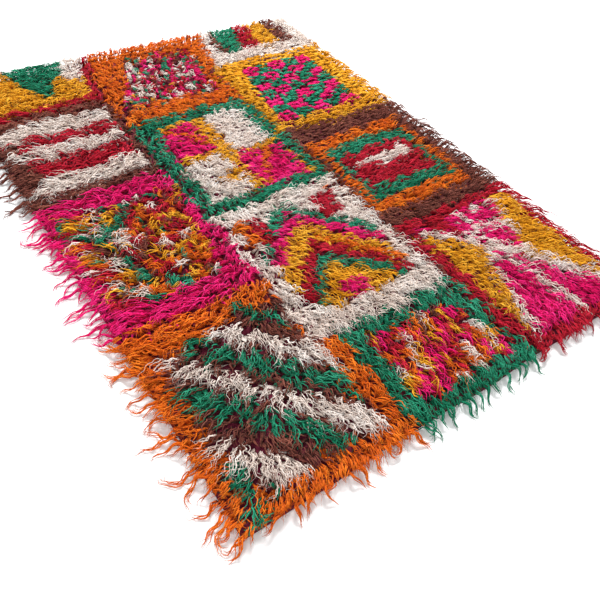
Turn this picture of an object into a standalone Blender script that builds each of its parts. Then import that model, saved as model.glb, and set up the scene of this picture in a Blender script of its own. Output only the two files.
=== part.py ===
"""A hand-knotted tulu rug lying flat on a floor.

The woven ground and the long pile knotted into it are one piece, so they are one solid: a lumpy
slab with a flat underside. The pile of the outermost knots lies out over the four edges as tapering
locks, which rest level on the floor and join the slab only at their roots.

Metres, +Z up. The width runs along X and the length along Y. The near end, where the pile hangs
over furthest, is at -Y. The underside is at z = 0, and the middle of the whole box is at the origin.
"""

import math
import random

import bmesh
import bpy
from mathutils import Vector, noise
from mathutils.geometry import delaunay_2d_cdt

# Ground
GROUND_WIDTH = 1.45
GROUND_LENGTH = 2.00
EDGE_WANDER = 0.006
EDGE_WANDER_PITCH = 0.35
CORNER_CUT = 0.012

# Pile
PILE_HEIGHT = 0.047
RIM_HEIGHT = 0.026
RIM_SLOPE = 0.055
BIG_LUMP_RISE = 0.009
BIG_LUMP_PITCH = 0.150
SMALL_LUMP_RISE = 0.010
SMALL_LUMP_PITCH = 0.060
TUFT_RISE = 0.015
SURFACE_PITCH = 0.047
SURFACE_JITTER = 0.011
UNDERSIDE_PITCH = 0.200
RIM_CLEARANCE = 0.030

# Rim locks
ROOT_SHARE = 0.68
LOCK_SECTIONS = 3
TIP_WIDTH = 0.005
TIP_HEIGHT = 0.004
TAPER_POWER = 0.85
CORNER_FAN = math.radians(38)
CORNER_FAN_POWER = 9
LEAN_SPREAD = math.radians(13)
LEAN_PITCH = 0.110
WAVE = 0.005
SEED = 7

# side, locks, shortest lock, longest lock, lean along the rim (anticlockwise seen from above)
SIDES = (
    ("near", 56, 0.034, 0.088, math.radians(-7)),
    ("right", 68, 0.030, 0.084, math.radians(-10)),
    ("far", 42, 0.018, 0.040, math.radians(5)),
    ("left", 74, 0.036, 0.090, math.radians(12)),
)

# Linear colours of the dyed wools
YARNS = {
    "orange": (0.62, 0.13, 0.012),
    "pink": (0.62, 0.006, 0.12),
    "yellow": (0.66, 0.30, 0.015),
    "green": (0.010, 0.16, 0.09),
    "ivory": (0.68, 0.56, 0.47),
    "brown": (0.10, 0.025, 0.018),
    "red": (0.36, 0.006, 0.016),
}
WOOL_ROUGHNESS = 0.92

COLUMNS = {"left": (-0.725, -0.270), "middle": (-0.270, 0.205), "right": (0.205, 0.725)}
PANEL_BORDER = 0.065
# column, near end, far end, border wool, field wool
PANELS = (
    ("left", -1.000, -0.405, "orange", "brown"),
    ("left", -0.405, 0.190, "pink", "red"),
    ("left", 0.190, 0.720, "brown", "ivory"),
    ("left", 0.720, 1.000, "red", "yellow"),
    ("middle", -1.000, -0.650, "green", "orange"),
    ("middle", -0.650, -0.090, "ivory", "yellow"),
    ("middle", -0.090, 0.465, "green", "pink"),
    ("middle", 0.465, 1.000, "orange", "red"),
    ("right", -1.000, -0.385, "red", "pink"),
    ("right", -0.385, 0.180, "brown", "green"),
    ("right", 0.180, 0.715, "yellow", "pink"),
    ("right", 0.715, 1.000, "ivory", "green"),
)


def clear_scene():
    for old in list(bpy.data.objects):
        bpy.data.objects.remove(old, do_unlink=True)


def smoothstep(value):
    value = min(1.0, max(0.0, value))
    return value * value * (3 - 2 * value)


def wool(name):
    material = bpy.data.materials.new(f"{name}_wool")
    material.use_nodes = True
    shader = material.node_tree.nodes["Principled BSDF"]
    shader.inputs["Base Color"].default_value = (*YARNS[name], 1)
    shader.inputs["Roughness"].default_value = WOOL_ROUGHNESS
    shader.inputs["Metallic"].default_value = 0
    return material


def yarn_at(x, y):
    """The wool that most of a panel has at a place: its border's near its edges, else its field's."""
    x = min(max(x, -GROUND_WIDTH / 2), GROUND_WIDTH / 2 - 1e-6)
    y = min(max(y, -GROUND_LENGTH / 2), GROUND_LENGTH / 2 - 1e-6)
    for column, near, far, border, field in PANELS:
        left, right = COLUMNS[column]
        if left <= x < right and near <= y < far:
            inset = min(x - left, right - x, y - near, far - y)
            return border if inset < PANEL_BORDER else field
    return "brown"


def side_frames():
    """Each side's start, its direction along the rim, its outward direction and its length."""
    half_width, half_length = GROUND_WIDTH / 2, GROUND_LENGTH / 2
    return {
        "near": (Vector((-half_width, -half_length)), Vector((1, 0)), Vector((0, -1)), GROUND_WIDTH),
        "right": (Vector((half_width, -half_length)), Vector((0, 1)), Vector((1, 0)), GROUND_LENGTH),
        "far": (Vector((half_width, half_length)), Vector((-1, 0)), Vector((0, 1)), GROUND_WIDTH),
        "left": (Vector((-half_width, half_length)), Vector((0, -1)), Vector((-1, 0)), GROUND_LENGTH),
    }


def rim_point(frame, along):
    """A place on the rim, which wanders a little from the straight edge, as a loomed edge does."""
    start, direction, outward, _ = frame
    place = start + direction * along
    sway = noise.noise(Vector((place.x, place.y, 0)) / EDGE_WANDER_PITCH)
    return place + outward * (EDGE_WANDER * sway)


def rim_locks():
    """Every rim lock in order round the rug, as a dict of its roots, direction and length."""
    chance = random.Random(SEED)
    locks = []
    for name, count, shortest, longest, lean in SIDES:
        frame = side_frames()[name]
        direction, outward, length = frame[1], frame[2], frame[3]
        pitch = (length - 2 * CORNER_CUT) / count
        for index in range(count):
            begin = CORNER_CUT + pitch * (index + (1 - ROOT_SHARE) / 2)
            end = begin + pitch * ROOT_SHARE
            middle = (begin + end) / 2
            across = 2 * middle / length - 1
            fan = CORNER_FAN * math.copysign(abs(across) ** CORNER_FAN_POWER, across)
            sway = LEAN_SPREAD * noise.noise(Vector((middle / LEAN_PITCH, length, SEED)))
            angle = lean + fan + sway
            heading = outward * math.cos(angle) + direction * math.sin(angle)
            locks.append(
                {
                    "roots": (rim_point(frame, begin), rim_point(frame, end)),
                    "heading": heading,
                    "along": direction,
                    "length": shortest + (longest - shortest) * chance.random() ** 1.3,
                    "phase": chance.uniform(0, math.tau),
                }
            )
    return locks


def distance_to_rim(x, y):
    return min(GROUND_WIDTH / 2 - abs(x), GROUND_LENGTH / 2 - abs(y))


def pile_top(x, y):
    """Height of the pile: low at the rim, where it lies over, and lumpy where tufts lean together."""
    place = Vector((x, y, 0))
    big = noise.noise(place / BIG_LUMP_PITCH + Vector((3.1, 1.7, 0)))
    small = noise.noise(place / SMALL_LUMP_PITCH + Vector((9.4, 5.2, 0)))
    tuft = noise.cell(place / SURFACE_PITCH) - 0.5
    rise = smoothstep(distance_to_rim(x, y) / RIM_SLOPE)
    lumps = BIG_LUMP_RISE * big + SMALL_LUMP_RISE * small + TUFT_RISE * tuft
    return RIM_HEIGHT + rise * (PILE_HEIGHT - RIM_HEIGHT + lumps)


def inner_points(pitch, jitter):
    """Places inside the rim on a staggered grid, each moved a little at random."""
    chance = random.Random(SEED + 1)
    row_step = pitch * math.sqrt(3) / 2
    rows = int((GROUND_LENGTH / 2) / row_step)
    columns = int((GROUND_WIDTH / 2) / pitch) + 1
    points = []
    for row in range(-rows, rows + 1):
        for column in range(-columns, columns + 1):
            x = (column + 0.5 * (row % 2)) * pitch + chance.uniform(-jitter, jitter)
            y = row * row_step + chance.uniform(-jitter, jitter)
            if distance_to_rim(x, y) > RIM_CLEARANCE:
                points.append(Vector((x, y)))
    return points


def fill(bm, rim_verts, inner, height, facing_up):
    """Triangles over the whole rug between the rim's points and the inner points."""
    places = [Vector((vert.co.x, vert.co.y)) for vert in rim_verts] + inner
    loop = list(range(len(rim_verts)))
    made, _, faces, sources, _, _ = delaunay_2d_cdt(places, [], [loop], 1, 1e-7)
    verts = []
    for place, source in zip(made, sources):
        if source[0] < len(rim_verts):
            verts.append(rim_verts[source[0]])
        else:
            verts.append(bm.verts.new((place.x, place.y, height(place.x, place.y))))
    for face in faces:
        corners = [verts[index] for index in face]
        bm.faces.new(corners if facing_up else corners[::-1])


def lock_section(lock, share):
    """The middle, half width and height of a lock, a share of the way from its root to its tip."""
    root = (lock["roots"][0] + lock["roots"][1]) / 2
    root_width = (lock["roots"][1] - lock["roots"][0]).length
    sway = WAVE * math.sin(lock["phase"] + math.pi * share) * share
    middle = root + lock["heading"] * (lock["length"] * share) + lock["along"] * sway
    width = root_width + (TIP_WIDTH - root_width) * share**TAPER_POWER
    return middle, width / 2, RIM_HEIGHT + (TIP_HEIGHT - RIM_HEIGHT) * smoothstep(share)


def add_lock(bm, lock, root_ring):
    """A four-sided lock that grows out of its stretch of the rim and lies on the floor."""
    heading = lock["heading"]
    across = Vector((-heading.y, heading.x))
    if across.dot(lock["along"]) < 0:
        across = -across
    ring = root_ring
    for section in range(1, LOCK_SECTIONS + 1):
        middle, half_width, height = lock_section(lock, section / LOCK_SECTIONS)
        begin = middle - across * half_width
        end = middle + across * half_width
        corners = ((begin, 0), (end, 0), (end, height), (begin, height))
        grown = [bm.verts.new((place.x, place.y, z)) for place, z in corners]
        for index in range(4):
            following = (index + 1) % 4
            bm.faces.new((ring[index], ring[following], grown[following], grown[index]))
        ring = grown
    bm.faces.new(ring)


def build_slab(bm):
    locks = rim_locks()
    rim = [place for lock in locks for place in lock["roots"]]
    low = [bm.verts.new((place.x, place.y, 0)) for place in rim]
    high = [bm.verts.new((place.x, place.y, RIM_HEIGHT)) for place in rim]
    fill(bm, high, inner_points(SURFACE_PITCH, SURFACE_JITTER), pile_top, True)
    fill(bm, low, inner_points(UNDERSIDE_PITCH, 0), lambda x, y: 0, False)
    for index, lock in enumerate(locks):
        begin, end = 2 * index, 2 * index + 1
        following = (end + 1) % len(rim)
        add_lock(bm, lock, [low[begin], low[end], high[end], high[begin]])
        bm.faces.new((low[end], low[following], high[following], high[end]))


def centre_on_box(bm):
    """Puts the middle of the whole box, locks and all, at the origin in X and Y."""
    xs = [vert.co.x for vert in bm.verts]
    ys = [vert.co.y for vert in bm.verts]
    middle = Vector(((min(xs) + max(xs)) / 2, (min(ys) + max(ys)) / 2, 0))
    bmesh.ops.translate(bm, verts=bm.verts, vec=-middle)


def make_rug():
    mesh = bpy.data.meshes.new("tulu_rug")
    rug = bpy.data.objects.new("tulu_rug", mesh)
    bpy.context.scene.collection.objects.link(rug)
    names = list(YARNS)
    for name in names:
        mesh.materials.append(wool(name))
    bm = bmesh.new()
    build_slab(bm)
    bmesh.ops.recalc_face_normals(bm, faces=bm.faces)
    for face in bm.faces:
        middle = face.calc_center_median()
        face.material_index = names.index(yarn_at(middle.x, middle.y))
        face.smooth = True
    centre_on_box(bm)
    bm.to_mesh(mesh)
    bm.free()
    mesh.set_sharp_from_angle(angle=math.radians(50))
    return rug


clear_scene()
make_rug()
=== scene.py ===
"""Dresses the tulu rug: a woven ground with long knotted pile, dyed as a patchwork of bordered panels."""

import math

import bpy
import numpy as np
from mathutils import Matrix, Vector


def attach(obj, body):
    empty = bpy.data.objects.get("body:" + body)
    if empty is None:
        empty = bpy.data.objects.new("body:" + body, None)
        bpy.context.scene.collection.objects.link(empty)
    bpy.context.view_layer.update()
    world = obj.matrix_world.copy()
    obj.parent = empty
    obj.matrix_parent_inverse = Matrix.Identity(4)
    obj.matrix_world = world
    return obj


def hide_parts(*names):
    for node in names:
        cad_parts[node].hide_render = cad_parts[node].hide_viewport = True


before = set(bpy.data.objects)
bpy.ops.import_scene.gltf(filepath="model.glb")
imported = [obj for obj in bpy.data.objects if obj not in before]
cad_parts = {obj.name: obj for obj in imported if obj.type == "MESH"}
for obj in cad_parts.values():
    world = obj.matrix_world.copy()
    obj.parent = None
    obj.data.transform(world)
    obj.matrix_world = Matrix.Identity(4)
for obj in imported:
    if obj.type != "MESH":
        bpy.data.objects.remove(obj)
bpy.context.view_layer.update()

# The rug's charts are in metres from the middle of its woven ground: +Y is the far end, +X the right side.
# The frame is centred on the pile's whole reach instead, so the ground's middle lies a little off it.
GROUND_MIDDLE = (0.0021, 0.0238)
GROUND_WIDTH = 1.45
GROUND_LENGTH = 2.00
GROUND_THICK = 0.003
SEED = 11

# The camera's standpoint from the ground's middle, and its turns in degrees.
STANDPOINT = (-1.065, -1.427, 1.363)
AZIMUTH = 42.25
PITCH = 47.07
ROLL = 9.27
FOCAL_SHARE = 643.0 / 600.0
SENSOR = 36.0

ORANGE, PINK, YELLOW, GREEN, IVORY, BROWN, RED = range(7)

# Each yarn: its name, its colour in the shade, in the body and at worn tips, and how long and how curly
# its locks are beside the others.
YARNS = (
    ("orange", (0.160, 0.018, 0.002), (0.700, 0.115, 0.004), (0.920, 0.250, 0.016), 1.00, 1.0),
    ("pink", (0.180, 0.000, 0.028), (0.740, 0.001, 0.125), (0.930, 0.030, 0.270), 1.00, 0.8),
    ("yellow", (0.200, 0.060, 0.002), (0.740, 0.310, 0.006), (0.960, 0.540, 0.050), 1.00, 1.0),
    ("green", (0.001, 0.030, 0.018), (0.004, 0.190, 0.095), (0.050, 0.400, 0.240), 0.95, 1.0),
    ("ivory", (0.300, 0.170, 0.130), (0.860, 0.725, 0.640), (0.980, 0.940, 0.900), 1.05, 1.3),
    ("brown", (0.030, 0.006, 0.005), (0.155, 0.040, 0.028), (0.320, 0.105, 0.070), 0.92, 1.0),
    ("red", (0.090, 0.000, 0.004), (0.430, 0.004, 0.018), (0.660, 0.020, 0.055), 0.95, 0.9),
)

# The knots: their pitch along a row and from row to row, and how far each strays, in shares of the pitch.
KNOT_PITCH = 0.0158
ROW_PITCH = 0.0226
KNOT_STRAY = 0.28
RIM_MARGIN = 0.010

# The pile's height inside, at the rim and past it, and the widths over which it falls.
PILE_HEIGHT = 0.047
RIM_HEIGHT = 0.030
FLOOR_LAY = 0.005
RIM_SLOPE = 0.055
FALL_WIDTH = 0.045
RISEN = 0.70
PILE_LIMIT = 0.072
BIG_LUMP = (0.150, 0.008)
SMALL_LUMP = (0.060, 0.006)

# Knots lean together in locks of about this width and length.
LOCK_WIDTH = 0.034
LOCK_LENGTH = 0.040
LOCK_PULL = 0.50
FINE_PULL = 0.20
RIM_PULL = 0.92

# Kinds of strand at each knot: how many, rings, where along it they start to show, radius, length, lift low
# and high, swing, crimp pitch, the share of their lock's pull, and how far each strays from its lock's way.
BODY = dict(
    count=1, rings=2, start=0.05, radius=0.0085, length=0.060, low=0.45, high=0.78, swing=0.0, crimp=0.05,
    pull=0.2, stray=1.0
)
DEEP_BODY = dict(BODY, low=0.35, high=0.60)
THICK = dict(
    count=1, rings=7, start=0.14, radius=0.0029, length=0.080, low=0.58, high=0.96, swing=0.0040, crimp=0.034,
    pull=1.0, stray=0.9
)
FINE = dict(
    count=1, rings=9, start=0.18, radius=0.0018, length=0.088, low=0.66, high=1.06, swing=0.0030, crimp=0.027,
    pull=0.9, stray=1.0
)
SILK = dict(
    count=4, rings=4, start=0.20, radius=0.0019, length=0.084, low=0.72, high=1.03, swing=0.0014, crimp=0.034,
    pull=1.0, stray=1.1
)
FLAT = dict(
    count=5, rings=3, start=0.26, radius=0.0018, length=0.092, low=0.88, high=1.02, swing=0.0, crimp=0.05,
    pull=0.8, stray=1.3
)
CURL = dict(
    count=1, rings=13, start=0.24, radius=0.0014, length=0.106, low=0.94, high=1.26, swing=0.0032, crimp=0.023,
    pull=0.6, stray=1.6
)
LONG_FROM = 0.84
FLAT_TO = 0.64
CURL_SHARES = (0.14, 0.07, 0.16, 0.10, 1.00, 0.10, 0.08)

# The rim: knots near it stop a little past the edge, and single locks stand out from between them.
SHORT_PAST = 0.010
RIM_PITCHES = (0.024, 0.022, 0.029, 0.014)
RIM_CORE = dict(
    count=1, rings=12, start=0.02, radius=0.0030, length=0.100, low=0.80, high=1.00, swing=0.0040, crimp=0.052,
    pull=0.0, stray=0.2, spread=0.002
)
RIM_FINE = dict(
    count=4, rings=11, start=0.03, radius=0.0019, length=0.098, low=0.85, high=1.15, swing=0.0038, crimp=0.050,
    pull=0.0, stray=0.4, spread=0.0055
)
# How long the rim's locks are on the left, right, near and far sides, beside the longest kind.
RIM_LENGTHS = (1.16, 1.10, 0.86, 0.46)

# How far along its yarn a knot's colour mostly shows.
SHOWN_SHARE = 0.58

# The way the pile lies, in degrees from the near end towards the right, at these places across the rug and
# in a row for each place along it. It parts down the middle and is combed outwards.
LAY_X = (-0.72, -0.50, -0.31, -0.24, -0.05, 0.15, 0.35, 0.55, 0.72)
LAY_ROWS = (
    (-1.00, (-62, -22, -6, 5, -10, -24, -32, -42, -30)),
    (-0.85, (-88, -10, 8, 8, -14, -20, -12, 8, 30)),
    (-0.70, (-104, -40, 12, 12, -5, 0, 14, 32, 45)),
    (-0.50, (-108, -84, 0, 6, 40, 30, 30, 45, 62)),
    (-0.30, (-88, -72, -50, 8, 44, 40, 70, 75, 72)),
    (0.10, (-92, -76, -66, 24, 50, 60, 68, 72, 74)),
    (0.50, (-85, -78, -76, 30, 56, 66, 72, 76, 78)),
    (0.90, (-90, -84, -70, 20, 60, 70, 74, 78, 80)),
    (1.00, (-105, -112, -150, 165, 140, 125, 110, 102, 96)),
)

# How long the locks are beside the longest kind, at the same places across and along the rug.
REACH_ROWS = (
    (-1.00, (1.10, 0.95, 0.90, 0.86, 0.85, 0.80, 0.82, 0.88, 0.95)),
    (-0.70, (1.20, 1.00, 0.90, 0.84, 0.80, 0.76, 0.72, 0.76, 0.95)),
    (-0.30, (1.30, 0.92, 0.72, 0.66, 0.62, 0.60, 0.62, 0.66, 0.92)),
    (0.10, (1.25, 0.84, 0.68, 0.62, 0.57, 0.55, 0.57, 0.60, 0.80)),
    (0.50, (1.18, 0.74, 0.62, 0.58, 0.54, 0.50, 0.48, 0.50, 0.64)),
    (0.90, (1.00, 0.64, 0.58, 0.54, 0.50, 0.50, 0.50, 0.52, 0.58)),
    (1.00, (0.80, 0.56, 0.54, 0.50, 0.48, 0.48, 0.48, 0.50, 0.52)),
)

# Columns of the yarn map: each strand lies in one, across its width, from root to tip along its height.
MAP_COLUMNS = 32
COLUMN_MARGIN = 0.08


def smooth(t):
    """Runs from 0 to 1 and eases at both ends."""
    t = np.clip(t, 0, 1)
    return t * t * (3 - 2 * t)


def soft_noise(x, y, pitch, seed):
    """Smooth noise from -1 to 1, with one rise or dip for about each pitch."""
    lattice = np.random.default_rng(seed).uniform(-1, 1, (128, 128))
    gx, gy = (x + 3.0) / pitch, (y + 3.0) / pitch
    ix, iy = np.floor(gx).astype(int), np.floor(gy).astype(int)
    fx, fy = smooth(gx - ix), smooth(gy - iy)
    ix, iy, jx, jy = ix % 128, iy % 128, (ix + 1) % 128, (iy + 1) % 128
    near = lattice[ix, iy] * (1 - fx) + lattice[jx, iy] * fx
    far = lattice[ix, jy] * (1 - fx) + lattice[jx, jy] * fx
    return near * (1 - fy) + far * fy


def cell_draw(x, y, width, length, seed):
    """One number from 0 to 1 for each cell of that width and length, with the columns slipped past each other."""
    column = np.floor(x / width)
    slip = np.modf(np.abs(np.sin(column * 12.9898 + seed) * 43758.5453))[0]
    row = np.floor(y / length + slip)
    return np.modf(np.abs(np.sin(column * 12.9898 + row * 78.233 + seed) * 43758.5453))[0]


def pick(draw, *shares):
    """Turns numbers from 0 to 1 into dyes, by (dye, share) pairs."""
    dyes = np.array([dye for dye, _ in shares])
    ends = np.cumsum([share for _, share in shares])
    return dyes[np.minimum(np.searchsorted(ends / ends[-1], draw), len(dyes) - 1)]


def within(value, low, high):
    return (value >= low) & (value < high)


def paint(dye, mask, colour):
    """Puts a dye, or an array of them, where the mask holds."""
    dye[mask] = colour[mask] if isinstance(colour, np.ndarray) else colour


def edging(x, y, left, right, near, far):
    """True outside a field of these sides."""
    return (x < left) | (x > right) | (y < near) | (y > far)


def diagonal_bands(x, y, dye):
    """Left near panel: stepped slanting bands of ivory and green on brown, in orange."""
    dye[:] = BROWN
    slant = 1.12 * (np.floor(x / 0.035) * 0.035 + 0.017) + y
    for middle in (-1.12, -1.37, -1.66):
        paint(dye, np.abs(slant - middle) < 0.044, GREEN)
    for middle in (-1.012, -1.252, -1.550):
        paint(dye, np.abs(slant - middle) < 0.043, IVORY)
    paint(dye, edging(x, y, -0.685, -0.268, -0.95, -0.462), ORANGE)
    paint(dye, within(x, -0.41, -0.30) & (np.abs(slant + 0.880) < 0.028), GREEN)
    paint(dye, within(y, -1.0, -0.86) & (np.abs(x + 0.655 - 0.31 * (y + 0.87)) < 0.019), GREEN)


def mixed_locks(x, y, dye):
    """Left panel above it: loose locks of every dye, in pink."""
    draw = cell_draw(y, x, 0.020, 0.030, 3.0)
    dye[:] = pick(draw, (RED, 0.28), (YELLOW, 0.15), (GREEN, 0.16), (ORANGE, 0.18), (IVORY, 0.11), (BROWN, 0.12))
    paint(dye, edging(x, y, -0.70, -0.302 + 0.16 * (y - 0.02), -0.278, 0.142), PINK)


def broad_stripes(x, y, dye):
    """Left panel: ivory stripes on dark red, in brown."""
    dye[:] = RED
    for low, high, end in ((0.275, 0.362, -0.70), (0.462, 0.525, -0.70), (0.592, 0.668, -9.0)):
        paint(dye, within(y, low, high), IVORY)
        paint(dye, within(y, low, high) & (x < end), BROWN)
    paint(dye, edging(x, y, -9.0, -0.31, 0.275, 0.668), BROWN)
    paint(dye, (x < -0.66) & (y < 0.57) & (dye == RED), BROWN)


def wedge_field(x, y, dye):
    """Left far panel: a green wedge and an ivory end on yellow, edged in red."""
    dye[:] = YELLOW
    paint(dye, (y > 0.80) & (np.abs(x + 0.45) < (y - 0.80) * 0.45), GREEN)
    paint(dye, within(x, -0.370, -0.305) & (y > 0.895 + 0.6 * (-0.305 - x)), IVORY)
    paint(dye, (y < 0.775) | (x > -0.305), RED)


def long_locks(x, y, dye):
    """Middle near panel: lengthwise locks of every warm dye, in green."""
    column = np.floor((x - 0.28 * y) / 0.017)
    row = np.floor(y / 0.13 + 0.381966 * column)
    draw = np.modf(0.618034 * (column + 40) + 0.27 * (row + 40))[0]
    dye[:] = pick(draw, (PINK, 0.22), (ORANGE, 0.22), (YELLOW, 0.18), (RED, 0.17), (IVORY, 0.11), (BROWN, 0.10))
    paint(dye, edging(x, y, -0.135, 0.150 - 0.38 * (y + 0.71), -0.955, -0.712), GREEN)


def gable_bands(x, y, dye):
    """Middle panel: nested gables with red corner blocks, in ivory."""
    dye[:] = IVORY
    aside = np.abs(x + 0.030)
    level = y + 1.05 * aside
    for low, high, colour in (
        (-0.148, -0.100, GREEN),
        (-0.208, -0.148, PINK),
        (-0.300, -0.208, YELLOW),
        (-0.360, -0.300, RED),
        (-0.408, -0.360, GREEN),
        (-0.560, -0.408, YELLOW),
    ):
        paint(dye, within(level, low, high), colour)
    paint(dye, within(level, -0.292, -0.264) & (x > -0.01), ORANGE)
    paint(dye, (np.abs(x + 0.030) < 0.036) & within(y, -0.575, -0.505), PINK)
    paint(dye, within(y, -0.255, -0.135) & within(x, -0.185, -0.112) & (level > -0.125), RED)
    paint(dye, within(y, -0.240, -0.108) & within(x, 0.082, 0.172) & (level > -0.115), RED)
    paint(dye, within(y, -0.24, -0.13) & within(x, -0.208, -0.182), ORANGE)
    paint(dye, within(y, -0.125, -0.105) & within(x, 0.095, 0.170), ORANGE)
    near = np.where(x < -0.15, -0.575 + 0.9 * (-0.15 - x), -0.575)
    paint(dye, edging(x, y, -0.205, 0.190, near, -0.110), IVORY)


def four_quarters(x, y, dye):
    """Middle panel: quarters of pink and ivory about a yellow cross, in green."""
    dye[:] = YELLOW
    pink = within(x, -0.205, -0.052) & within(y, 0.252, 0.440)
    paint(dye, pink | (within(x, -0.004, 0.178) & within(y, -0.02, 0.200)), PINK)
    ivory = within(x, 0.008, 0.165) & within(y, 0.225, 0.462)
    paint(dye, ivory | (within(x, -0.215, -0.052) & within(y, -0.02, 0.215)), IVORY)
    paint(dye, pink & (np.abs(y - (0.41 - 1.1 * (x + 0.145))) < 0.015), ORANGE)
    paint(dye, (dye == PINK) & (x > -0.03) & (np.abs(x - (0.02 + 0.49 * y)) < 0.012), ORANGE)
    paint(dye, np.hypot(x + 0.088, y - 0.095) < 0.034, YELLOW)
    paint(dye, edging(x, y, -0.210 + 0.07 * y, 0.196 - 0.09 * y, -0.01, 0.458), GREEN)


def speckles(x, y, dye):
    """Middle far panel: small specks of every dye, in orange."""
    draw = cell_draw(x, y, 0.017, 0.024, 9.0)
    dye[:] = pick(draw, (RED, 0.28), (PINK, 0.20), (IVORY, 0.13), (GREEN, 0.18), (BROWN, 0.17), (YELLOW, 0.04))
    paint(dye, edging(x, y, -0.222 + 0.42 * (y - 0.63), 0.171 + 0.12 * (y - 0.63), 0.615, 0.955), ORANGE)


def hourglass(x, y, dye):
    """Right near panel: a pink hourglass between yellow wedges outlined in ivory, in dark red."""
    near, far = np.maximum(-0.585 - y, 0), np.maximum(y + 0.585, 0)
    left_wedge = 0.450 - 0.40 * near - 1.05 * far
    right_wedge = np.where(y < -0.70, 0.575 + 0.78 * (-0.70 - y), 0.575 + 0.38 * (y + 0.70))
    dye[:] = PINK
    across = y + 0.585 + 1.15 * (x - 0.47)
    paint(dye, within(across, -0.036, 0.028) & (x > 0.43), IVORY)
    paint(dye, (y < -0.63) & (np.abs(x - (0.503 - 0.11 * (y + 0.70))) < 0.014), IVORY)
    paint(dye, (far > 0.02) & (x > 0.48) & (cell_draw(x, y, 0.020, 0.020, 4.0) < 0.24), IVORY)
    paint(dye, (x < left_wedge + 0.024) & (near > 0.03), IVORY)
    paint(dye, (x > right_wedge - np.where(y < -0.70, 0.040, 0.010)), IVORY)
    paint(dye, (x < left_wedge + 0.018) & (far > 0), IVORY)
    paint(dye, (x < left_wedge) | (x > right_wedge), YELLOW)
    paint(dye, (x < 0.425) & (far > 0) & (x > left_wedge + 0.030 + 0.02 * soft_noise(x, y, 0.05, 23)), RED)
    paint(dye, edging(x, y, 0.306, 0.738, -0.965, -0.430), RED)


def nested_boxes(x, y, dye):
    """Right panel: boxes of brown, orange, green and red about an ivory bar."""
    dye[:] = BROWN
    for left, right, near, far, colour in (
        (0.256, 0.700, -0.310, 0.134, ORANGE),
        (0.294, 0.668, -0.250, 0.078, GREEN),
        (0.322, 0.640, -0.190, 0.018, RED),
    ):
        paint(dye, within(x, left, right) & within(y, near, far), colour)
    paint(dye, within(x, 0.350, 0.600) & (np.abs(y + 0.060) < 0.008 + 0.09 * (x - 0.35)), IVORY)


def checks(x, y, dye):
    """Right panel: pink and green checks, in yellow."""
    left = 0.264 + 0.16 * (y - 0.29)
    column = np.floor(5 * (x - left) / (0.662 - left))
    up = y - 0.288 - 0.04 * (x - 0.26)
    odd = (column + np.floor(up / 0.057)) % 2
    dye[:] = np.where(odd > 0, GREEN, PINK)
    paint(dye, (x < left) | (x > 0.662) | (up < 0) | (up > 0.399), YELLOW)


def far_wedges(x, y, dye):
    """Right far panel: upright wedges of brown, green, red and yellow, in ivory."""
    dye[:] = BROWN
    up = y - 0.85
    paint(dye, within(x, 0.372 + 0.02 * up, 0.440 + 0.28 * up), GREEN)
    paint(dye, within(x, 0.440 + 0.28 * up, 0.534 + 0.14 * up), RED)
    paint(dye, within(x, 0.534 + 0.14 * up, 0.640), YELLOW)
    paint(dye, edging(x, y, 0.318 + 0.22 * up, 0.715, 0.845, 1.2), IVORY)
    paint(dye, x < 0.262 + 0.24 * (y - 0.79), ORANGE)


# The panels, in three columns from the left and from the near end of each: left, right, near and far
# sides and the chart that dyes them.
PANELS = (
    (-9.0, -0.202, -9.0, -0.363, diagonal_bands),
    (-9.0, -0.266, -0.363, 0.225, mixed_locks),
    (-9.0, -0.272, 0.225, 0.735, broad_stripes),
    (-9.0, -0.240, 0.735, 9.0, wedge_field),
    (-0.202, 0.250, -9.0, -0.655, long_locks),
    (-0.266, 0.234, -0.655, -0.065, gable_bands),
    (-0.280, 0.236, -0.065, 0.518, four_quarters),
    (-0.270, 0.222, 0.518, 9.0, speckles),
    (0.250, 9.0, -9.0, -0.385, hourglass),
    (0.234, 9.0, -0.385, 0.236, nested_boxes),
    (0.225, 9.0, 0.236, 0.762, checks),
    (0.215, 9.0, 0.762, 9.0, far_wedges),
)


def dye_at(x, y):
    """The dye of the knots at these places."""
    x = x - 0.26 * np.clip(y - 0.74, 0, 0.3) * np.exp(-(((x + 0.23) / 0.12) ** 2))
    x = x + 0.006 * soft_noise(x, y, 0.07, 21)
    y = y + 0.008 * soft_noise(x, y, 0.06, 22)
    dye = np.full(x.shape, BROWN)
    for left, right, near, far, chart in PANELS:
        here = within(x, left, right) & within(y, near, far)
        part = np.full(int(here.sum()), BROWN)
        chart(x[here], y[here], part)
        dye[here] = part
    return dye


def past_rim(x, y):
    """How far a place is past the ground's edge. It is negative over the ground."""
    dx, dy = np.abs(x) - GROUND_WIDTH / 2, np.abs(y) - GROUND_LENGTH / 2
    return np.where((dx > 0) & (dy > 0), np.hypot(dx, dy), np.maximum(dx, dy))


def unevenness(x, y):
    """How lumpy the pile is, from 0.35 at the far right end to 1 at the near left, where its locks are longest."""
    return 0.35 + 0.65 * smooth(0.5 - 0.55 * (0.6 * x + y))


def pile_top(x, y):
    """The height at which the pile lies."""
    past = past_rim(x, y)
    inside = smooth(-past / RIM_SLOPE)
    lumps = BIG_LUMP[1] * soft_noise(x, y, BIG_LUMP[0], 31) + SMALL_LUMP[1] * soft_noise(x, y, SMALL_LUMP[0], 32)
    over = RIM_HEIGHT + (PILE_HEIGHT - RIM_HEIGHT + lumps * unevenness(x, y)) * inside
    return np.where(past < 0, over, RIM_HEIGHT + (FLOOR_LAY - RIM_HEIGHT) * smooth(past / FALL_WIDTH))


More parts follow.
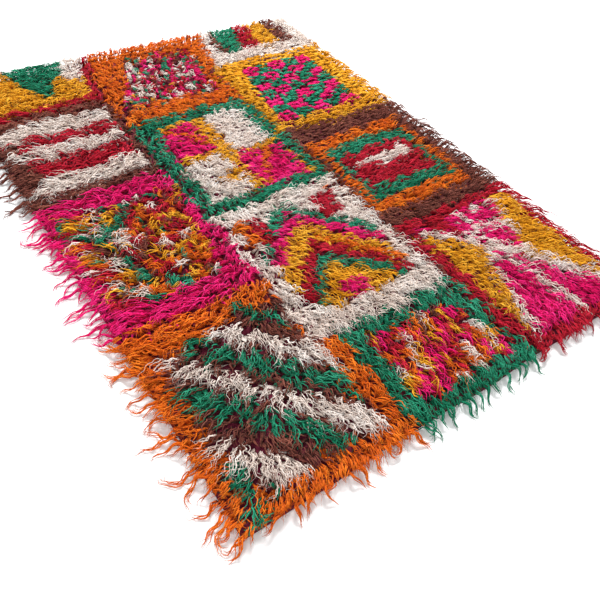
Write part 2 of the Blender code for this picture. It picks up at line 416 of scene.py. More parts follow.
def from_rows(x, y, places, rows):
    """Reads a table at places over the rug: its columns are at LAY_X and its rows at places."""
    places = np.array(places)
    low = np.clip(np.searchsorted(places, y) - 1, 0, len(places) - 2)
    share = np.clip((y - places[low]) / (places[low + 1] - places[low]), 0, 1)
    across = np.stack([np.interp(x, LAY_X, row) for row in rows])
    each = np.arange(x.size)
    return across[low, each] * (1 - share) + across[low + 1, each] * share


def lay_angle(x, y):
    """The way the pile lies, in radians from the near end towards the right."""
    places = [place for place, _ in LAY_ROWS]
    turns = np.radians([row for _, row in LAY_ROWS])
    angle = np.arctan2(from_rows(x, y, places, np.sin(turns)), from_rows(x, y, places, np.cos(turns)))
    return angle + np.radians(12) * soft_noise(x, y, 0.12, 41)


def seen_on_floor(x, y, z):
    """Where on the floor a place at height z seems to be from the standpoint, because the charts are drawn so."""
    away = STANDPOINT[2] / (STANDPOINT[2] - z)
    return STANDPOINT[0] + (x - STANDPOINT[0]) * away, STANDPOINT[1] + (y - STANDPOINT[1]) * away


def reach_share(x, y):
    """How long the locks are at a place, beside the usual."""
    share = from_rows(x, y, [place for place, _ in REACH_ROWS], [row for _, row in REACH_ROWS])
    speckled = within(x, -0.20, 0.15) & within(y, 0.58, 0.90)
    mixed = within(x, -0.55, -0.29) & within(y, -0.28, 0.15)
    chequered = within(x, 0.22, 0.68) & within(y, 0.26, 0.72)
    share = share * np.where(speckled, 0.74, 1) * np.where(mixed, 0.84, 1) * np.where(chequered, 0.74, 1)
    return share * (1 + 0.12 * soft_noise(x, y, 0.09, 51))


def scatter(x, y):
    """How far the knots' ways stray from their lock's at a place, in radians."""
    speckled = within(x, -0.20, 0.16) & within(y, 0.58, 0.92)
    mixed = within(x, -0.60, -0.29) & within(y, -0.28, 0.15)
    parting = np.exp(-(((x + 0.262) / 0.035) ** 2)) * within(y, -0.36, 0.78)
    tangled = (within(x, -0.215, -0.05) & within(y, -0.03, 0.215)) | (within(x, 0.0, 0.165) & within(y, 0.225, 0.462))
    return np.maximum.reduce([1.2 * speckled, 0.7 * mixed, 0.6 * parting, 0.5 * tangled])


def neatness(x, y):
    """How much of a strand's straying is left at a place: little where the chart is of small checks."""
    return 1 - 0.65 * (within(x, 0.225, 0.68) & within(y, 0.27, 0.72))


def looseness(x, y):
    """How freely the knots stand out of their locks: 1 along the right and far rims, where the pile is short."""
    return np.maximum(smooth((x - 0.60) / 0.08), smooth((y - 0.88) / 0.08))


def knots():
    """Every knot: its place, its lock's middle, the way it lies, its length share, its phase and its dye."""
    rng = np.random.default_rng(SEED)
    rows = int((GROUND_LENGTH - 2 * RIM_MARGIN) / ROW_PITCH) + 1
    each = int((GROUND_WIDTH - 2 * RIM_MARGIN) / KNOT_PITCH) + 1
    row, place = np.meshgrid(np.arange(rows), np.arange(each), indexing="ij")
    row, place = row.ravel(), place.ravel()
    x = (place - (each - 1) / 2 + 0.25 * (-1.0) ** row) * KNOT_PITCH
    y = (row - (rows - 1) / 2) * ROW_PITCH
    x = x + rng.uniform(-1, 1, x.size) * KNOT_STRAY * KNOT_PITCH
    y = y + rng.uniform(-1, 1, y.size) * KNOT_STRAY * ROW_PITCH
    x = np.clip(x, -GROUND_WIDTH / 2 + 0.004, GROUND_WIDTH / 2 - 0.004)
    y = np.clip(y, -GROUND_LENGTH / 2 + 0.004, GROUND_LENGTH / 2 - 0.004)

    middles = lock_middles(rng)
    gx, gy = np.floor(x / LOCK_WIDTH).astype(int), np.floor(y / LOCK_LENGTH).astype(int)
    best = np.full(x.size, np.inf)
    lock = np.zeros((x.size, 2), int)
    for ox in (-1, 0, 1):
        for oy in (-1, 0, 1):
            cx, cy = gx + ox, gy + oy
            middle = middles["place"][cx + 64, cy + 64]
            far = np.hypot(middle[:, 0] - x, middle[:, 1] - y)
            nearer = far < best
            best[nearer] = far[nearer]
            lock[nearer] = np.stack([cx + 64, cy + 64], 1)[nearer]
    own = {key: value[lock[:, 0], lock[:, 1]] for key, value in middles.items()}
    heading = lay_angle(x, y) + (own["turn"] + rng.normal(0, 0.07, x.size)) * neatness(x, y)
    heading = heading + scatter(x, y) * rng.normal(0, 1, x.size)
    share = reach_share(x, y) * own["share"] * rng.uniform(0.90, 1.10, x.size)
    stop = own["stop"] + np.interp(y, (-0.6, 0.2), (1.0, -0.8)) * smooth((x - 0.62) / 0.06)
    stop = stop + 0.4 * smooth((y - 0.90) / 0.06)
    stop = stop + 1.5 * looseness(x, y) * soft_noise(x, y, 0.09, 71)
    stops = (SHORT_PAST * stop - past_rim(x, y)) / (0.86 * THICK["length"])
    share = np.minimum(share, np.maximum(stops, 0.30))
    shown = SHOWN_SHARE * THICK["length"] * share
    shown_x, shown_y = x + shown * np.sin(heading), y - shown * np.cos(heading)
    dye = dye_at(*seen_on_floor(shown_x, shown_y, 0.75 * pile_top(shown_x, shown_y)))
    tone = own["tone"] + rng.normal(0, 0.10, x.size) + 0.20 * soft_noise(x, y, 0.10, 61)
    return dict(
        x=x,
        y=y,
        lock=own["place"],
        heading=heading,
        share=share,
        phase=own["phase"] + rng.normal(0, 0.4, x.size),
        bend=own["bend"],
        hook=own["hook"],
        crimp=own["crimp"],
        dye=dye,
        tone=tone,
        lift=1 + (own["lift"] - 1) * unevenness(x, y),
    )


def lock_middles(rng):
    """Where locks gather, on a jittered grid, with what their knots share."""
    size = (128, 128)
    gx, gy = np.meshgrid(np.arange(-64, 64), np.arange(-64, 64), indexing="ij")
    x = (gx + 0.5 + rng.uniform(-0.38, 0.38, size)) * LOCK_WIDTH
    y = (gy + 0.5 + rng.uniform(-0.38, 0.38, size)) * LOCK_LENGTH
    return dict(
        place=np.stack([x, y], 2),
        turn=rng.normal(0, 0.16, size),
        bend=rng.normal(0, 0.38, size),
        hook=rng.normal(0, 0.8, size),
        crimp=rng.uniform(0.85, 1.20, size),
        share=rng.uniform(0.80, 1.16, size),
        stop=rng.uniform(-0.6, 2.2, size),
        phase=rng.uniform(0, 2 * math.pi, size),
        tone=rng.uniform(0.15, 0.85, size),
        lift=rng.uniform(0.82, 1.16, size),
    )


def rim_locks():
    """Single locks that stand out round the rim, in the same form as the knots."""
    rng = np.random.default_rng(SEED + 8)
    half_width, half_length = GROUND_WIDTH / 2, GROUND_LENGTH / 2
    places = []
    for side, (long, across) in enumerate(((GROUND_LENGTH, -1), (GROUND_LENGTH, 1), (GROUND_WIDTH, -1), (GROUND_WIDTH, 1))):
        count = int(long / RIM_PITCHES[side])
        along = (np.arange(count) + 0.5 + rng.uniform(-0.42, 0.42, count)) / count * long - long / 2
        inward = rng.uniform(0.004, 0.024, count)
        if side < 2:
            places.append((across * (half_width - inward), along, np.full(count, side)))
        else:
            places.append((along, across * (half_length - inward), np.full(count, side)))
    x, y, side = (np.concatenate(part) for part in zip(*places))
    out = np.array([-math.pi / 2, math.pi / 2, 0, math.pi])[side]
    lay = lay_angle(x, y)
    heading = out + np.clip((lay - out + math.pi) % (2 * math.pi) - math.pi, -0.9, 0.9) + rng.normal(0, 0.22, x.size)
    heading = heading - np.where((side == 1) & (y > -0.6), 0.25, 0)
    share = np.array(RIM_LENGTHS)[side] * rng.uniform(0.62, 1.15, x.size)
    share = share * np.where(side == 1, np.interp(y, (-0.9, 0.0, 0.5, 1.0), (1.0, 0.85, 0.52, 0.42)), 1)
    share = share * (1 + 0.35 * looseness(x, y) * soft_noise(x, y, 0.07, 72))
    return dict(
        x=x,
        y=y,
        lock=np.stack([x, y], 1),
        heading=heading,
        share=share,
        phase=rng.uniform(0, 2 * math.pi, x.size),
        bend=rng.normal(0, 0.45, x.size),
        hook=rng.normal(0, 1.3, x.size) * np.array((1.0, 0.5, 1.0, 0.4))[side],
        crimp=rng.uniform(0.8, 1.2, x.size),
        dye=dye_at(*seen_on_floor(x + 0.04 * np.sin(heading), y - 0.04 * np.cos(heading), 0.02)),
        tone=rng.uniform(0.05, 0.60, x.size),
        lift=rng.uniform(0.9, 1.1, x.size),
    )


def strands(knot, kind, seed, chosen):
    """Strands of one kind at the chosen knots: their points, radii, dyes and map columns."""
    rng = np.random.default_rng(seed)
    which = np.repeat(chosen, kind["count"])
    count, rings = which.size, kind["rings"]
    k = {key: value[which] for key, value in knot.items()}
    longer = np.array([yarn[4] for yarn in YARNS])[k["dye"]]
    curly = np.array([yarn[5] for yarn in YARNS])[k["dye"]]
    t = np.linspace(kind["start"], 1, rings)[None, :]

    stray = kind["stray"] * neatness(k["x"], k["y"])
    loose = looseness(k["x"], k["y"])
    neat = neatness(k["x"], k["y"])
    uneven = (0.14 + 0.20 * loose) * neat
    length = (kind["length"] * longer * k["share"] * rng.uniform(1 - uneven, 1 + uneven, count))[:, None]
    at_rim = smooth(1 + past_rim(k["x"], k["y"]) / 0.05)[:, None]
    own_bend = rng.normal(0, 0.16 * stray, count)[:, None] * (1 - 0.5 * at_rim)
    own_hook = rng.normal(0, 0.7 * stray, count)[:, None] * (1 - 0.5 * at_rim)
    bend = k["bend"][:, None] * (1 - 0.6 * loose[:, None])
    hook = k["hook"][:, None] * (1 - 0.8 * loose[:, None])
    heading = (k["heading"] + rng.normal(0, 0.07 * stray, count))[:, None]
    heading = heading + (bend + own_bend) * t**2 + (hook + own_hook) * t**5
    step = np.diff(0.86 * length * t**1.25, axis=1, prepend=0)
    spread = rng.normal(0, kind.get("spread", 0.003), (2, count, 1)) * (1 - 0.8 * t if "spread" in kind else 1)
    x = k["x"][:, None] + spread[0] + np.cumsum(step * np.sin(heading), axis=1)
    y = k["y"][:, None] + spread[1] - np.cumsum(step * np.cos(heading), axis=1)
    gather = np.where(k["share"] > LONG_FROM, LOCK_PULL, FINE_PULL)[:, None]
    pull = kind["pull"] * (gather + (RIM_PULL - gather) * at_rim) * t**1.2 * (1 - 0.85 * loose[:, None])
    x = x + pull * (k["lock"][:, 0] - k["x"])[:, None]
    y = y + pull * (k["lock"][:, 1] - k["y"])[:, None]

    swing = (kind["swing"] * curly * rng.uniform(0.7, 1.3, count))[:, None] * smooth(t / 0.30)
    crimp = kind["crimp"] * (k["crimp"] * rng.uniform(1 - 0.08 * stray, 1 + 0.08 * stray, count))[:, None]
    wave = 2 * math.pi * length * t / crimp
    phase = (k["phase"] + rng.normal(0, 0.8 * stray, count))[:, None]
    aside = swing * np.sin(wave + phase)
    x = x + aside * np.cos(heading)
    y = y + aside * np.sin(heading)

    risen = RISEN * np.clip(k["share"] / 0.85, 0.45, 1)[:, None]
    rise = 1 - (1 - np.clip(t / risen, 0, 1)) ** 2
    sag = 1 - 0.16 * np.clip((t - 0.60) / 0.40, 0, 1) ** 1.5
    lift = k["lift"] * rng.uniform(kind["low"], kind["high"], count)
    lift = np.where(neat < 1, 0.93 + (lift - 0.93) * neat, lift)[:, None]
    held = loose * rng.uniform(0.70, 1.15, count)
    top = np.maximum(pile_top(x, y), held[:, None] * (0.036 - 0.32 * np.maximum(past_rim(x, y), 0)))
    settled = np.clip(top / RIM_HEIGHT, 0.25, 1)
    z = GROUND_THICK * (1 - t) + top * lift * rise * sag + 0.55 * swing * settled * np.cos(wave * 0.83 + phase)
    girth = np.maximum((1 - t**2.2) ** 0.75, 0.12)
    radius = kind["radius"] * (rng.uniform(0.70, 1.20, count) * np.where(k["dye"] == IVORY, 0.86, 1))[:, None] * girth
    z = np.clip(z, radius + 0.0003, PILE_LIMIT - radius)

    across = np.stack([np.cos(heading), np.sin(heading), np.zeros_like(heading)], 2)
    tone = np.clip(k["tone"] + rng.normal(0, 0.16, count), 0, 0.999)
    column = np.floor(tone * MAP_COLUMNS).astype(int)
    return dict(
        path=np.stack([x, y, z], 2),
        radius=radius,
        across=across,
        dye=k["dye"],
        column=column,
        spin=rng.uniform(0, 2 * math.pi, count),
        along=np.broadcast_to(t, (count, rings)),
    )


def strand_mesh(path, radius, across, column, spin, along):
    """Closed three-sided strands as plain arrays: corners, face corners, face sizes and map places."""
    count, rings = radius.shape
    onward = np.gradient(path, axis=1)
    onward /= np.linalg.norm(onward, axis=2, keepdims=True)
    side = across - (across * onward).sum(2, keepdims=True) * onward
    side /= np.linalg.norm(side, axis=2, keepdims=True)
    over = np.cross(side, onward)
    turn = spin[:, None] + np.arange(3)[None, :] * (2 * math.pi / 3)
    ring = np.cos(turn)[:, None, :, None] * side[:, :, None] + np.sin(turn)[:, None, :, None] * over[:, :, None]
    verts = path[:, :, None] + radius[:, :, None, None] * ring

    first = (np.arange(count) * rings * 3)[:, None, None]
    level = (np.arange(rings - 1) * 3)[None, :, None]
    k = np.arange(3)[None, None, :]
    nxt = (k + 1) % 3
    low, high = first + level, first + level + 3
    quads = np.stack([low + k, low + nxt, high + nxt, high + k], 3).reshape(-1)
    start = first[:, 0, 0]
    last = start + (rings - 1) * 3
    caps = np.stack([start + 2, start + 1, start, last, last + 1, last + 2], 1).reshape(-1)

    slot = (column[:, None, None] + COLUMN_MARGIN + (1 - 2 * COLUMN_MARGIN) * np.arange(4)[None, None, :] / 3) / MAP_COLUMNS
    slot = np.broadcast_to(slot, (count, rings - 1, 4))
    v = 0.01 + 0.98 * along[:, :, None]
    low_v = np.broadcast_to(v[:, :-1], (count, rings - 1, 3))
    high_v = np.broadcast_to(v[:, 1:], (count, rings - 1, 3))
    u = np.stack([slot[:, :, :3], slot[:, :, 1:], slot[:, :, 1:], slot[:, :, :3]], 3)
    quad_uv = np.stack([u, np.stack([low_v, low_v, high_v, high_v], 3)], 4).reshape(-1, 2)
    cap_u = slot[:, 0, :3]
    cap_u = np.stack([cap_u[:, 2], cap_u[:, 1], cap_u[:, 0], cap_u[:, 0], cap_u[:, 1], cap_u[:, 2]], 1)
    cap_v = np.broadcast_to(np.array([0.01, 0.03, 0.01, 0.99, 0.97, 0.99])[None, :], cap_u.shape)
    cap_uv = np.stack([cap_u, cap_v], 2).reshape(-1, 2)
    return verts.reshape(-1, 3), quads, quad_uv, caps, cap_uv


def pile_piece(name, parts, material):
    """One piece of pile from strands of several kinds, in the frame's place."""
    verts, loops, sizes, places = [], [], [], []
    before = 0
    for part in parts:
        corners, quads, quad_uv, caps, cap_uv = strand_mesh(
            part["path"], part["radius"], part["across"], part["column"], part["spin"], part["along"]
        )
        loops += [quads + before, caps + before]
        sizes += [np.full(len(quads) // 4, 4), np.full(len(caps) // 3, 3)]
        places += [quad_uv, cap_uv]
        verts.append(corners)
        before += len(corners)
    verts, loops = np.concatenate(verts), np.concatenate(loops)
    sizes, places = np.concatenate(sizes), np.concatenate(places)
    verts = verts + np.array([GROUND_MIDDLE[0], GROUND_MIDDLE[1], 0.0])

    mesh = bpy.data.meshes.new(name)
    mesh.vertices.add(len(verts))
    mesh.vertices.foreach_set("co", verts.astype(np.float32).ravel())
    mesh.loops.add(len(loops))
    mesh.loops.foreach_set("vertex_index", loops.astype(np.int32))
    mesh.polygons.add(len(sizes))
    mesh.polygons.foreach_set("loop_start", (np.cumsum(sizes) - sizes).astype(np.int32))
    mesh.update(calc_edges=True)
    mesh.uv_layers.new(name="OFBake")
    mesh.uv_layers["OFBake"].data.foreach_set("uv", places.astype(np.float32).ravel())
    mesh.polygons.foreach_set("use_smooth", np.ones(len(sizes), bool))
    mesh.materials.append(material)
    piece = bpy.data.objects.new(name, mesh)
    bpy.context.scene.collection.objects.link(piece)
    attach(piece, "root")
    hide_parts("tulu_rug")
    return piece


def group_socket(tree, name, kind, way, value=None):
    socket = tree.interface.new_socket(name=name, in_out=way, socket_type=kind)
    if value is not None:
        socket.default_value = value
    return socket


def node(tree, kind, at, **settings):
    made = tree.nodes.new(kind)
    made.location = at
    for key, value in settings.items():
        setattr(made, key, value)
    return made


def join(tree, source, target):
    tree.links.new(source, target)


def maths(tree, operation, first, second, at):
    """A Math node on two sockets or numbers."""
    made = node(tree, "ShaderNodeMath", at, operation=operation)
    for socket, value in zip(made.inputs, (first, second)):
        if isinstance(value, (int, float)):
            socket.default_value = value
        else:
            join(tree, value, socket)
    return made.outputs[0]


def spun_wool_group():
    """Hand-spun wool on the yarn map: painted shade at the roots and at most yarns' tips, worn colour, tone by lock,
    plies and loose fibres.
    """
    tree = bpy.data.node_groups.new("spun wool", "ShaderNodeTree")
    group_socket(tree, "Shade", "NodeSocketColor", "INPUT", (0.1, 0.1, 0.1, 1))
    group_socket(tree, "Dye", "NodeSocketColor", "INPUT", (0.5, 0.5, 0.5, 1))
    group_socket(tree, "Worn", "NodeSocketColor", "INPUT", (0.8, 0.8, 0.8, 1))
    group_socket(tree, "Plies", "NodeSocketFloat", "INPUT", 9.0)
    group_socket(tree, "Tip", "NodeSocketFloat", "INPUT", -0.15)
    group_socket(tree, "Colour", "NodeSocketColor", "OUTPUT")
    group_socket(tree, "Roughness", "NodeSocketFloat", "OUTPUT")
    group_socket(tree, "Height", "NodeSocketFloat", "OUTPUT")
    given = node(tree, "NodeGroupInput", (-1400, 0))
    out = node(tree, "NodeGroupOutput", (900, 0))

    place = node(tree, "ShaderNodeUVMap", (-1400, -300), uv_map="OFBake")
    parts = node(tree, "ShaderNodeSeparateXYZ", (-1200, -300))
    join(tree, place.outputs[0], parts.inputs[0])
    wide = maths(tree, "MULTIPLY", parts.outputs[0], float(MAP_COLUMNS), (-1000, -250))
    column = maths(tree, "FLOOR", wide, 0.0, (-800, -250))
    along = parts.outputs[1]

    # Tone: columns run from dull to bright, with a draw of their own on top.
    draw = node(tree, "ShaderNodeTexWhiteNoise", (-600, -250), noise_dimensions="1D")
    join(tree, column, draw.inputs["W"])
    bright = maths(tree, "DIVIDE", column, float(MAP_COLUMNS), (-600, -100))
    tone = maths(tree, "ADD", maths(tree, "MULTIPLY", bright, 0.56, (-400, -100)),
                 maths(tree, "MULTIPLY", draw.outputs["Value"], 0.14, (-400, -250)), (-200, -150))

    # Fibres: fine noise drawn out along the strand.
    fibre_place = node(tree, "ShaderNodeCombineXYZ", (-800, -500))
    join(tree, maths(tree, "MULTIPLY", wide, 6.0, (-1000, -450)), fibre_place.inputs[0])
    join(tree, maths(tree, "MULTIPLY", along, 10.0, (-1000, -600)), fibre_place.inputs[1])
    fibre = node(tree, "ShaderNodeTexNoise", (-600, -500))
    fibre.inputs["Scale"].default_value = 1.0
    fibre.inputs["Detail"].default_value = 3.0
    fibre.inputs["Roughness"].default_value = 0.65
    join(tree, fibre_place.outputs[0], fibre.inputs["Vector"])

    # Plies: slanting ridges round the strand.
    slant = maths(tree, "ADD", maths(tree, "MULTIPLY", wide, 2.0, (-1000, -800)),
                  maths(tree, "MULTIPLY", along, given.outputs["Plies"], (-1000, -950)), (-800, -850))
    bent = maths(tree, "ADD", slant, maths(tree, "MULTIPLY", fibre.outputs["Fac"], 0.35, (-600, -950)), (-400, -850))
    ply = maths(tree, "SINE", maths(tree, "MULTIPLY", bent, 2 * math.pi, (-200, -850)), 0.0, (0, -850))
    ply = maths(tree, "ADD", maths(tree, "MULTIPLY", ply, 0.5, (150, -850)), 0.5, (300, -850))

    # The colour's place from the painted shade at the roots, where the strands lie under others, up to the body and
    # worn colour.
    up = node(tree, "ShaderNodeMapRange", (-400, 150), interpolation_type="SMOOTHSTEP")
    join(tree, along, up.inputs["Value"])
    up.inputs["From Min"].default_value = 0.05
    up.inputs["From Max"].default_value = 0.55
    up.inputs["To Min"].default_value = 0.0
    up.inputs["To Max"].default_value = 0.34
    # Near the tip the level shifts by Tip: painted shade darkens the tips of most yarns, while ivory's tips are made
    # lighter.
    tip = node(tree, "ShaderNodeMapRange", (-400, 400), interpolation_type="SMOOTHSTEP")
    join(tree, along, tip.inputs["Value"])
    tip.inputs["From Min"].default_value = 0.62
    tip.inputs["From Max"].default_value = 1.0
    level = maths(tree, "ADD", up.outputs[0], maths(tree, "MULTIPLY", tip.outputs[0], given.outputs["Tip"], (-300, 400)), (-200, 250))
    level = maths(tree, "ADD", level, tone, (0, 150))
    spread = maths(tree, "MULTIPLY", maths(tree, "SUBTRACT", fibre.outputs["Fac"], 0.5, (-200, -450)), 1.30, (0, -450))
    level = maths(tree, "ADD", level, spread, (150, 100))
    level = maths(tree, "ADD", level, maths(tree, "MULTIPLY", ply, 0.10, (450, -700)), (300, 100))

    dark = node(tree, "ShaderNodeMapRange", (450, 250))
    join(tree, level, dark.inputs["Value"])
    dark.inputs["From Min"].default_value = 0.02
    dark.inputs["From Max"].default_value = 0.50
    pale = node(tree, "ShaderNodeMapRange", (450, -50))
    join(tree, level, pale.inputs["Value"])
    pale.inputs["From Min"].default_value = 0.62
    pale.inputs["From Max"].default_value = 1.10
    body = node(tree, "ShaderNodeMix", (600, 250), data_type="RGBA")
    join(tree, dark.outputs[0], body.inputs["Factor"])
    join(tree, given.outputs["Shade"], body.inputs["A"])
    join(tree, given.outputs["Dye"], body.inputs["B"])
    whole = node(tree, "ShaderNodeMix", (750, 150), data_type="RGBA")
    join(tree, pale.outputs[0], whole.inputs["Factor"])
    join(tree, body.outputs["Result"], whole.inputs["A"])
    join(tree, given.outputs["Worn"], whole.inputs["B"])
    join(tree, whole.outputs["Result"], out.inputs["Colour"])

    rough = node(tree, "ShaderNodeMapRange", (600, -250))
    join(tree, fibre.outputs["Fac"], rough.inputs["Value"])
    rough.inputs["From Min"].default_value = 0.3
    rough.inputs["From Max"].default_value = 0.7
    rough.inputs["To Min"].default_value = 0.95
    rough.inputs["To Max"].default_value = 0.72
    join(tree, rough.outputs[0], out.inputs["Roughness"])
    height = maths(tree, "ADD", maths(tree, "MULTIPLY", ply, 0.55, (450, -850)),
                   maths(tree, "MULTIPLY", fibre.outputs["Fac"], 0.60, (450, -1000)), (600, -900))
    join(tree, height, out.inputs["Height"])
    return tree


def shader_material(name):
    """A new material's tree and its principled shader."""
    material = bpy.data.materials.new(name)
    material.use_nodes = True
    tree = material.node_tree
    tree.nodes.clear()
    out = node(tree, "ShaderNodeOutputMaterial", (600, 0))
    shader = node(tree, "ShaderNodeBsdfPrincipled", (300, 0))
    join(tree, shader.outputs[0], out.inputs["Surface"])
    return material, tree, shader


def wool_material(name, shade, dye, worn, group):
    """One yarn's wool."""
    material, tree, shader = shader_material(name + " wool")
    wool = node(tree, "ShaderNodeGroup", (-200, 0), node_tree=group)
    wool.inputs["Shade"].default_value = (*shade, 1)
    wool.inputs["Dye"].default_value = (*dye, 1)
    wool.inputs["Worn"].default_value = (*worn, 1)
    # Tip: painted shade darkens the tips of most yarns; ivory's tips are made lighter instead.
    wool.inputs["Tip"].default_value = 0.12 if name == "ivory" else -0.15
    join(tree, wool.outputs["Colour"], shader.inputs["Base Color"])
    join(tree, wool.outputs["Roughness"], shader.inputs["Roughness"])
    bump = node(tree, "ShaderNodeBump", (50, -250))
    bump.inputs["Strength"].default_value = 0.7
    bump.inputs["Distance"].default_value = 0.0012
    join(tree, wool.outputs["Height"], bump.inputs["Height"])
    join(tree, bump.outputs[0], shader.inputs["Normal"])
    shader.inputs["Specular IOR Level"].default_value = 0.12
    shader.inputs["Sheen Weight"].default_value = 0.04
    shader.inputs["Sheen Roughness"].default_value = 0.5
    return material


def woven_material():
    """The ground's plain weave in burgundy wool, with a ridge at each row of knots."""
    material, tree, shader = shader_material("woven ground wool")
    place = node(tree, "ShaderNodeTexCoord", (-1200, 0))
    parts = node(tree, "ShaderNodeSeparateXYZ", (-1000, 0))
    join(tree, place.outputs["Object"], parts.inputs[0])
    across = maths(tree, "SINE", maths(tree, "MULTIPLY", parts.outputs[0], 2 * math.pi / 0.0060, (-800, 100)), 0.0, (-600, 100))
    down = maths(tree, "SINE", maths(tree, "MULTIPLY", parts.outputs[1], 2 * math.pi / 0.0044, (-800, -100)), 0.0, (-600, -100))
    weave = maths(tree, "MULTIPLY", across, down, (-400, 0))
    ridge = maths(tree, "SINE", maths(tree, "MULTIPLY", parts.outputs[1], 2 * math.pi / ROW_PITCH, (-800, -300)), 0.0, (-600, -300))
    fuzz = node(tree, "ShaderNodeTexNoise", (-800, -500))
    fuzz.inputs["Scale"].default_value = 260.0
    fuzz.inputs["Detail"].default_value = 4.0
    join(tree, place.outputs["Object"], fuzz.inputs["Vector"])
    patch = node(tree, "ShaderNodeTexNoise", (-800, -750))
    patch.inputs["Scale"].default_value = 9.0
    patch.inputs["Detail"].default_value = 3.0
    join(tree, place.outputs["Object"], patch.inputs["Vector"])
    level = maths(tree, "ADD", maths(tree, "MULTIPLY", weave, 0.22, (-200, 0)),
                  maths(tree, "MULTIPLY", fuzz.outputs["Fac"], 0.7, (-200, -200)), (0, 0))
    level = maths(tree, "ADD", level, maths(tree, "MULTIPLY", patch.outputs["Fac"], 0.5, (-200, -400)), (0, -150))
    colours = node(tree, "ShaderNodeValToRGB", (-50, 250))
    colours.color_ramp.elements[0].position = 0.25
    colours.color_ramp.elements[0].color = (0.050, 0.004, 0.012, 1)
    colours.color_ramp.elements[1].position = 0.95
    colours.color_ramp.elements[1].color = (0.240, 0.022, 0.055, 1)
    join(tree, level, colours.inputs[0])
    join(tree, colours.outputs[0], shader.inputs["Base Color"])
    height = maths(tree, "ADD", maths(tree, "MULTIPLY", weave, 0.5, (-200, -600)),
                   maths(tree, "MULTIPLY", ridge, 0.35, (-200, -750)), (0, -650))
    height = maths(tree, "ADD", height, maths(tree, "MULTIPLY", fuzz.outputs["Fac"], 0.4, (-200, -900)), (100, -750))
    bump = node(tree, "ShaderNodeBump", (150, -300))
    bump.inputs["Strength"].default_value = 0.8
    bump.inputs["Distance"].default_value = 0.0012
    join(tree, height, bump.inputs["Height"])
    join(tree, bump.outputs[0], shader.inputs["Normal"])
    shader.inputs["Roughness"].default_value = 0.9
    shader.inputs["Specular IOR Level"].default_value = 0.2
    return material


def woven_ground(material):
    """The woven ground: a thin closed sheet with sides that wander a little."""
    wide, long = 32, 44
    half_width, half_length = GROUND_WIDTH / 2 - 0.004, GROUND_LENGTH / 2 - 0.004
    u = np.linspace(-1, 1, wide + 1)[:, None]
    v = np.linspace(-1, 1, long + 1)[None, :]
    x, y = np.broadcast_arrays(u * half_width, v * half_length)
    x = x + 0.004 * u * soft_noise(0 * x, y, 0.20, 71)
    y = y + 0.005 * v * soft_noise(x, 0 * y, 0.18, 72)
    top = GROUND_THICK + 0.0003 * soft_noise(x, y, 0.04, 73)
    rim = np.maximum(np.abs(u), np.abs(v)) > 0.999
    top = np.where(rim, 0.7 * GROUND_THICK, top)
    count = (wide + 1) * (long + 1)
    upper = np.stack([x, y, top], 2).reshape(-1, 3)
    lower = np.stack([x, y, np.where(rim, 0.0006, 0.0)], 2).reshape(-1, 3)
    places = np.concatenate([upper, lower]) + np.array([GROUND_MIDDLE[0], GROUND_MIDDLE[1], 0.0])
    number = np.arange(count).reshape(wide + 1, long + 1)
    a, b, c, d = number[:-1, :-1], number[1:, :-1], number[1:, 1:], number[:-1, 1:]
    faces = np.stack([a, b, c, d], 2).reshape(-1, 4)
    faces = [*faces.tolist(), *(faces[:, ::-1] + count).tolist()]
    loop = [*number[:, 0], *number[-1, 1:], *number[-2::-1, -1], *number[0, -2:0:-1]]
    for one, two in zip(loop, loop[1:] + loop[:1]):
        faces.append([int(one), int(one) + count, int(two) + count, int(two)])
    mesh = bpy.data.meshes.new("woven_ground")
    mesh.from_pydata(places.tolist(), [], faces)
    mesh.update()
    mesh.polygons.foreach_set("use_smooth", np.ones(len(mesh.polygons), bool))
    mesh.materials.append(material)
    piece = bpy.data.objects.new("woven_ground", mesh)
    bpy.context.scene.collection.objects.link(piece)
    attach(piece, "root")
    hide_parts("tulu_rug")
    return piece


def set_camera():
    """The camera at the standpoint, turned by azimuth, pitch and roll."""
    azimuth, pitch, roll = (math.radians(angle) for angle in (AZIMUTH, PITCH, ROLL))
    forward = Vector((math.sin(azimuth) * math.cos(pitch), math.cos(azimuth) * math.cos(pitch), -math.sin(pitch)))
    right = forward.cross(Vector((0, 0, 1))).normalized()
    up = right.cross(forward)
    across = math.cos(roll) * right + math.sin(roll) * up
    upward = -math.sin(roll) * right + math.cos(roll) * up
    turned = Matrix((across, upward, -forward)).transposed().to_4x4()
    lens = bpy.data.cameras.new("camera")
    lens.sensor_width = SENSOR
    lens.lens = FOCAL_SHARE * SENSOR
    lens.clip_end = 60
    camera = bpy.data.objects.new("camera", lens)
    bpy.context.scene.collection.objects.link(camera)
    stand = Vector((STANDPOINT[0] + GROUND_MIDDLE[0], STANDPOINT[1] + GROUND_MIDDLE[1], STANDPOINT[2]))
    camera.matrix_world = Matrix.Translation(stand) @ turned
    bpy.context.scene.camera = camera


def soft_lamp(name, place, aim, width, power, colour=(1, 1, 1)):
    """A large soft lamp at place, turned to aim."""
    lamp = bpy.data.lights.new(name, "AREA")
    lamp.shape = "DISK"
    lamp.size = width
    lamp.energy = power
    lamp.color = colour
    made = bpy.data.objects.new(name, lamp)
    bpy.context.scene.collection.objects.link(made)
    made.location = place
    made.rotation_euler = (Vector(aim) - Vector(place)).to_track_quat("-Z", "Y").to_euler()


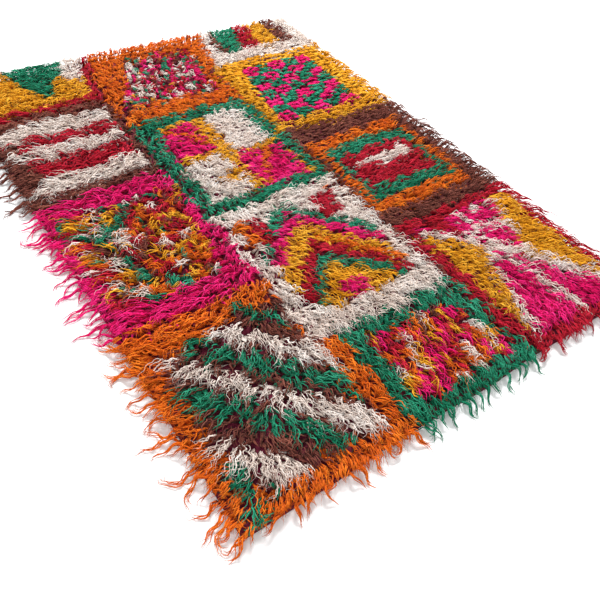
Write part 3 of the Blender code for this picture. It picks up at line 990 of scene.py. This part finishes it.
def set_studio():
    """A plain pale floor, soft lamps and an even pale surround."""
    mesh = bpy.data.meshes.new("floor")
    mesh.from_pydata([(-15, -15, 0), (15, -15, 0), (15, 15, 0), (-15, 15, 0)], [], [(0, 1, 2, 3)])
    floor = bpy.data.objects.new("floor", mesh)
    bpy.context.scene.collection.objects.link(floor)
    floor.location.z = -0.0005
    material, tree, shader = shader_material("pale floor")
    shader.inputs["Base Color"].default_value = (0.90, 0.90, 0.90, 1)
    shader.inputs["Roughness"].default_value = 0.9
    mesh.materials.append(material)

    world = bpy.data.worlds.new("studio")
    world.use_nodes = True
    surround = world.node_tree.nodes["Background"]
    surround.inputs["Color"].default_value = (1, 1, 1, 1)
    surround.inputs["Strength"].default_value = 0.62
    bpy.context.scene.world = world
    soft_lamp("key lamp", (1.2, 1.6, 3.4), (0, 0, 0), 1.5, 230)
    soft_lamp("fill lamp", (-2.6, -2.2, 2.8), (0, 0, 0), 2.6, 50)
    bpy.context.scene.view_settings.view_transform = "Standard"


set_camera()
set_studio()

knot = knots()
rim = rim_locks()
long_ones = knot["share"] > LONG_FROM
flat_ones = knot["share"] < FLAT_TO
curled = np.random.default_rng(SEED + 3).uniform(0, 1, knot["x"].size) < np.array(CURL_SHARES)[knot["dye"]]
kinds = [
    strands(knot, BODY, SEED + 1, np.flatnonzero(~long_ones)),
    strands(knot, DEEP_BODY, SEED + 12, np.flatnonzero(long_ones)),
    strands(knot, FLAT, SEED + 7, np.flatnonzero(flat_ones)),
    strands(knot, FLAT, SEED + 9, np.flatnonzero(neatness(knot["x"], knot["y"]) < 1)),
    strands(knot, SILK, SEED + 2, np.flatnonzero(~long_ones & ~flat_ones)),
    strands(knot, THICK, SEED + 4, np.flatnonzero(long_ones)),
    strands(knot, FINE, SEED + 6, np.flatnonzero(long_ones)),
    strands(rim, RIM_CORE, SEED + 9, np.arange(rim["x"].size)),
    strands(rim, RIM_FINE, SEED + 10, np.arange(rim["x"].size)),
    strands(knot, CURL, SEED + 5, np.flatnonzero(curled)),
]

wool_group = spun_wool_group()
for number, (name, shade, dye, worn, _, _) in enumerate(YARNS):
    material = wool_material(name, shade, dye, worn, wool_group)
    parts = [{key: value[kind["dye"] == number] for key, value in kind.items()} for kind in kinds]
    if number == IVORY:
        pile_piece("pile_ivory_curls", parts[-1:], material)
        parts = parts[:-1]
    pile_piece("pile_" + name, parts, material)

ground = woven_ground(woven_material())
